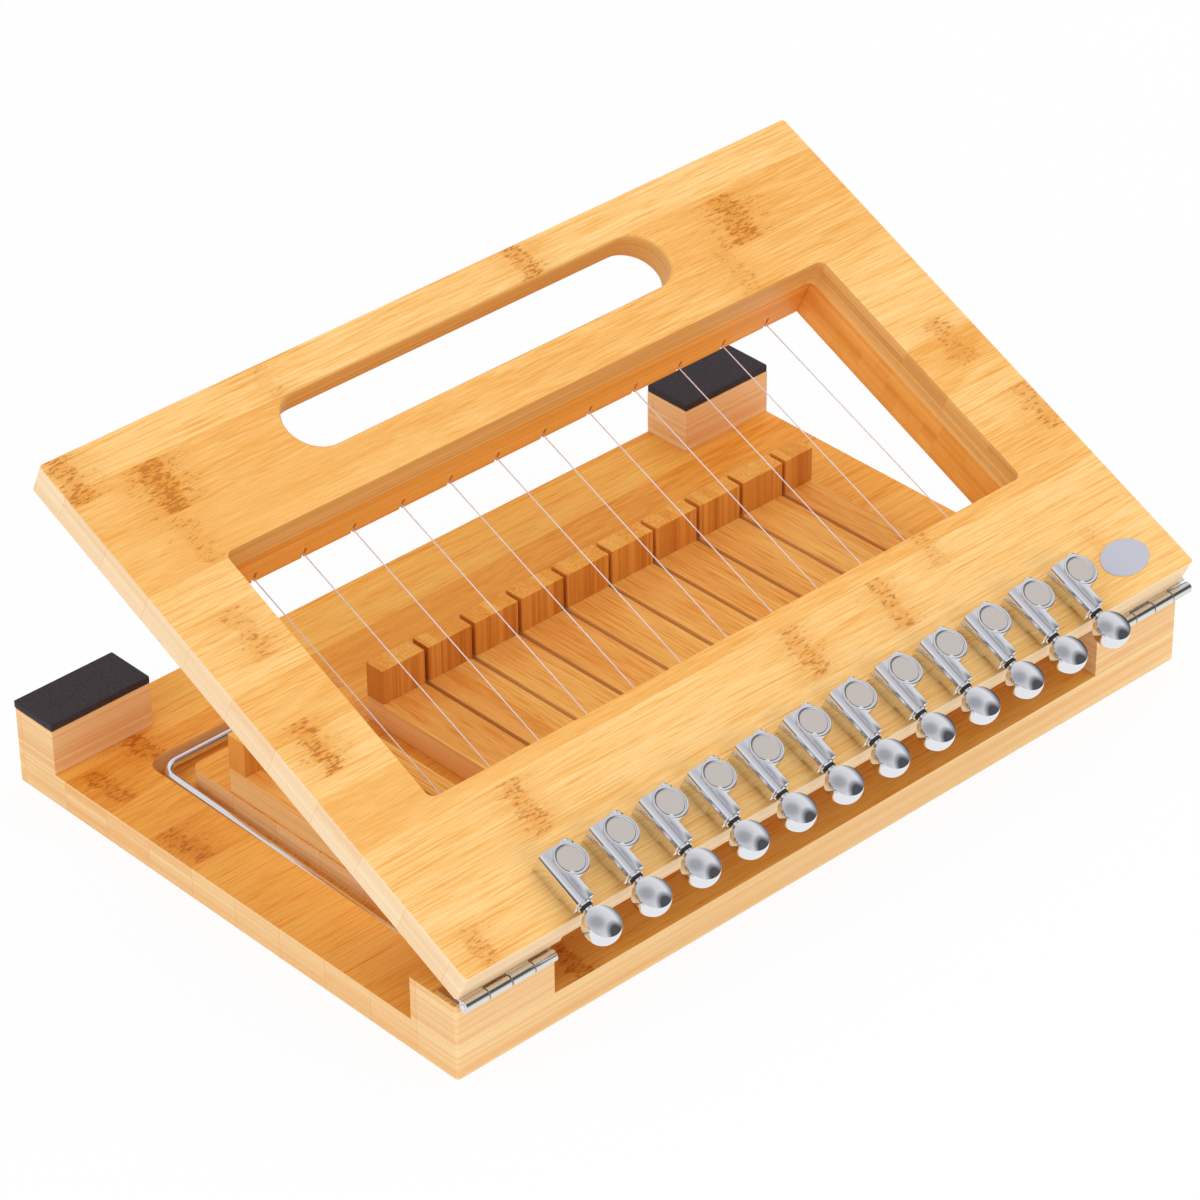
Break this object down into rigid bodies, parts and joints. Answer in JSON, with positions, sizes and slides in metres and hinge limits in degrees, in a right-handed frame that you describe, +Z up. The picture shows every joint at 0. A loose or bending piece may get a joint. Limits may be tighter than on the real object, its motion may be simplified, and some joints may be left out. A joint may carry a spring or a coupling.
{
  "type": "tabletop soap cutter",
  "caption": "Tabletop soap cutter: a bamboo base board with slotted decks, a prop rod and a hinged bamboo frame strung with steel wires on geared tuners.",
  "frame": {"origin": "centre of the base board's underside, on the table", "axes": "+X along the hinge to the right as seen from the tuner side, +Y from the hinge to the back, +Z up"},
  "size_m": [0.3952, 0.2854, 0.1602],
  "materials": {
    "bamboo": "satin oil",
    "fence_bamboo": "satin oil",
    "chrome": "polished",
    "satin_disc": "satin",
    "nickel": "polished nickel",
    "steel": "drawn bright",
    "screw_steel": "zinc plated",
    "foam": "matt, open cell",
    "black_plastic": "matt",
    "label_foil": "satin foil"
  },
  "bodies": {
    "base": {"base_board": "bamboo", "left_hinge_block": "bamboo", "right_hinge_block": "bamboo", "left_rear_block": "bamboo", "right_rear_block": "bamboo", "left_pad": "foam", "right_pad": "foam", "block_screws": "screw_steel", "left_deck": "bamboo", "left_fence": "fence_bamboo", "right_deck": "bamboo", "right_fence": "fence_bamboo", "left_lower_leaf": "nickel", "right_lower_leaf": "nickel", "hinge_pins": "steel", "lower_leaf_screws": "screw_steel"},
    "frame": {"left_upper_leaf": "nickel", "right_upper_leaf": "nickel", "upper_leaf_screws": "screw_steel", "cutting_panel": "bamboo", "near_rail": "bamboo", "far_rail": "bamboo", "left_rail": "bamboo", "right_rail": "bamboo", "cutting_wires": "steel", "wire_anchor_screws": "screw_steel", "label_disc": "label_foil", "tuner_housings": "chrome", "housing_discs": "satin_disc", "lug_screws": "screw_steel", "neck_washers": "black_plastic", "post_washers": "chrome", "post_bushings": "chrome"},
    "prop": {"prop_rod": "steel"},
    "knob_body_01": {"knob_01": "chrome"},
    "post_body_01": {"post_01": "steel"},
    "knob_body_02": {"knob_02": "chrome"},
    "post_body_02": {"post_02": "steel"},
    "knob_body_03": {"knob_03": "chrome"},
    "post_body_03": {"post_03": "steel"},
    "knob_body_04": {"knob_04": "chrome"},
    "post_body_04": {"post_04": "steel"},
    "knob_body_05": {"knob_05": "chrome"},
    "post_body_05": {"post_05": "steel"},
    "knob_body_06": {"knob_06": "chrome"},
    "post_body_06": {"post_06": "steel"},
    "knob_body_07": {"knob_07": "chrome"},
    "post_body_07": {"post_07": "steel"},
    "knob_body_08": {"knob_08": "chrome"},
    "post_body_08": {"post_08": "steel"},
    "knob_body_09": {"knob_09": "chrome"},
    "post_body_09": {"post_09": "steel"},
    "knob_body_10": {"knob_10": "chrome"},
    "post_body_10": {"post_10": "steel"},
    "knob_body_11": {"knob_11": "chrome"},
    "post_body_11": {"post_11": "steel"},
    "knob_body_12": {"knob_12": "chrome"},
    "post_body_12": {"post_12": "steel"}
  },
  "joints": [
    {"name": "frame_hinge", "type": "hinge", "parent": "base", "child": "frame", "pos_m": [0, -0.1326, 0.0346], "axis": [1, 0, 0], "range_deg": [-24.65, 114]},
    {"name": "prop_hinge", "type": "hinge", "parent": "base", "child": "prop", "pos_m": [-0.0745, 0.0842, 0.0108], "axis": [-1, 0, 0], "range_deg": [0, 12]},
    {"name": "knob_turn_01", "type": "hinge", "parent": "frame", "child": "knob_body_01", "pos_m": [-0.1404, -0.14783, 0.05132], "axis": [0, 0.9056, 0.4242], "continuous": true},
    {"name": "post_turn_01", "type": "hinge", "parent": "frame", "child": "post_body_01", "pos_m": [-0.1342, -0.11117, 0.03624], "axis": [0, -0.4242, 0.9056], "continuous": true},
    {"name": "knob_turn_02", "type": "hinge", "parent": "frame", "child": "knob_body_02", "pos_m": [-0.1154, -0.14783, 0.05132], "axis": [0, 0.9056, 0.4242], "continuous": true},
    {"name": "post_turn_02", "type": "hinge", "parent": "frame", "child": "post_body_02", "pos_m": [-0.1092, -0.11117, 0.03624], "axis": [0, -0.4242, 0.9056], "continuous": true},
    {"name": "knob_turn_03", "type": "hinge", "parent": "frame", "child": "knob_body_03", "pos_m": [-0.0904, -0.14783, 0.05132], "axis": [0, 0.9056, 0.4242], "continuous": true},
    {"name": "post_turn_03", "type": "hinge", "parent": "frame", "child": "post_body_03", "pos_m": [-0.0842, -0.11117, 0.03624], "axis": [0, -0.4242, 0.9056], "continuous": true},
    {"name": "knob_turn_04", "type": "hinge", "parent": "frame", "child": "knob_body_04", "pos_m": [-0.0654, -0.14783, 0.05132], "axis": [0, 0.9056, 0.4242], "continuous": true},
    {"name": "post_turn_04", "type": "hinge", "parent": "frame", "child": "post_body_04", "pos_m": [-0.0592, -0.11117, 0.03624], "axis": [0, -0.4242, 0.9056], "continuous": true},
    {"name": "knob_turn_05", "type": "hinge", "parent": "frame", "child": "knob_body_05", "pos_m": [-0.0404, -0.14783, 0.05132], "axis": [0, 0.9056, 0.4242], "continuous": true},
    {"name": "post_turn_05", "type": "hinge", "parent": "frame", "child": "post_body_05", "pos_m": [-0.0342, -0.11117, 0.03624], "axis": [0, -0.4242, 0.9056], "continuous": true},
    {"name": "knob_turn_06", "type": "hinge", "parent": "frame", "child": "knob_body_06", "pos_m": [-0.0154, -0.14783, 0.05132], "axis": [0, 0.9056, 0.4242], "continuous": true},
    {"name": "post_turn_06", "type": "hinge", "parent": "frame", "child": "post_body_06", "pos_m": [-0.0092, -0.11117, 0.03624], "axis": [0, -0.4242, 0.9056], "continuous": true},
    {"name": "knob_turn_07", "type": "hinge", "parent": "frame", "child": "knob_body_07", "pos_m": [0.0096, -0.14783, 0.05132], "axis": [0, 0.9056, 0.4242], "continuous": true},
    {"name": "post_turn_07", "type": "hinge", "parent": "frame", "child": "post_body_07", "pos_m": [0.0158, -0.11117, 0.03624], "axis": [0, -0.4242, 0.9056], "continuous": true},
    {"name": "knob_turn_08", "type": "hinge", "parent": "frame", "child": "knob_body_08", "pos_m": [0.0346, -0.14783, 0.05132], "axis": [0, 0.9056, 0.4242], "continuous": true},
    {"name": "post_turn_08", "type": "hinge", "parent": "frame", "child": "post_body_08", "pos_m": [0.0408, -0.11117, 0.03624], "axis": [0, -0.4242, 0.9056], "continuous": true},
    {"name": "knob_turn_09", "type": "hinge", "parent": "frame", "child": "knob_body_09", "pos_m": [0.0596, -0.14783, 0.05132], "axis": [0, 0.9056, 0.4242], "continuous": true},
    {"name": "post_turn_09", "type": "hinge", "parent": "frame", "child": "post_body_09", "pos_m": [0.0658, -0.11117, 0.03624], "axis": [0, -0.4242, 0.9056], "continuous": true},
    {"name": "knob_turn_10", "type": "hinge", "parent": "frame", "child": "knob_body_10", "pos_m": [0.0846, -0.14783, 0.05132], "axis": [0, 0.9056, 0.4242], "continuous": true},
    {"name": "post_turn_10", "type": "hinge", "parent": "frame", "child": "post_body_10", "pos_m": [0.0908, -0.11117, 0.03624], "axis": [0, -0.4242, 0.9056], "continuous": true},
    {"name": "knob_turn_11", "type": "hinge", "parent": "frame", "child": "knob_body_11", "pos_m": [0.1096, -0.14783, 0.05132], "axis": [0, 0.9056, 0.4242], "continuous": true},
    {"name": "post_turn_11", "type": "hinge", "parent": "frame", "child": "post_body_11", "pos_m": [0.1158, -0.11117, 0.03624], "axis": [0, -0.4242, 0.9056], "continuous": true},
    {"name": "knob_turn_12", "type": "hinge", "parent": "frame", "child": "knob_body_12", "pos_m": [0.1346, -0.14783, 0.05132], "axis": [0, 0.9056, 0.4242], "continuous": true},
    {"name": "post_turn_12", "type": "hinge", "parent": "frame", "child": "post_body_12", "pos_m": [0.1408, -0.11117, 0.03624], "axis": [0, -0.4242, 0.9056], "continuous": true}
  ],
  "couplings": [
    {"joint": "post_turn_01", "follows": "knob_turn_01", "ratio": 0.066667},
    {"joint": "post_turn_02", "follows": "knob_turn_02", "ratio": 0.066667},
    {"joint": "post_turn_03", "follows": "knob_turn_03", "ratio": 0.066667},
    {"joint": "post_turn_04", "follows": "knob_turn_04", "ratio": 0.066667},
    {"joint": "post_turn_05", "follows": "knob_turn_05", "ratio": 0.066667},
    {"joint": "post_turn_06", "follows": "knob_turn_06", "ratio": 0.066667},
    {"joint": "post_turn_07", "follows": "knob_turn_07", "ratio": 0.066667},
    {"joint": "post_turn_08", "follows": "knob_turn_08", "ratio": 0.066667},
    {"joint": "post_turn_09", "follows": "knob_turn_09", "ratio": 0.066667},
    {"joint": "post_turn_10", "follows": "knob_turn_10", "ratio": 0.066667},
    {"joint": "post_turn_11", "follows": "knob_turn_11", "ratio": 0.066667},
    {"joint": "post_turn_12", "follows": "knob_turn_12", "ratio": 0.066667}
  ]
}
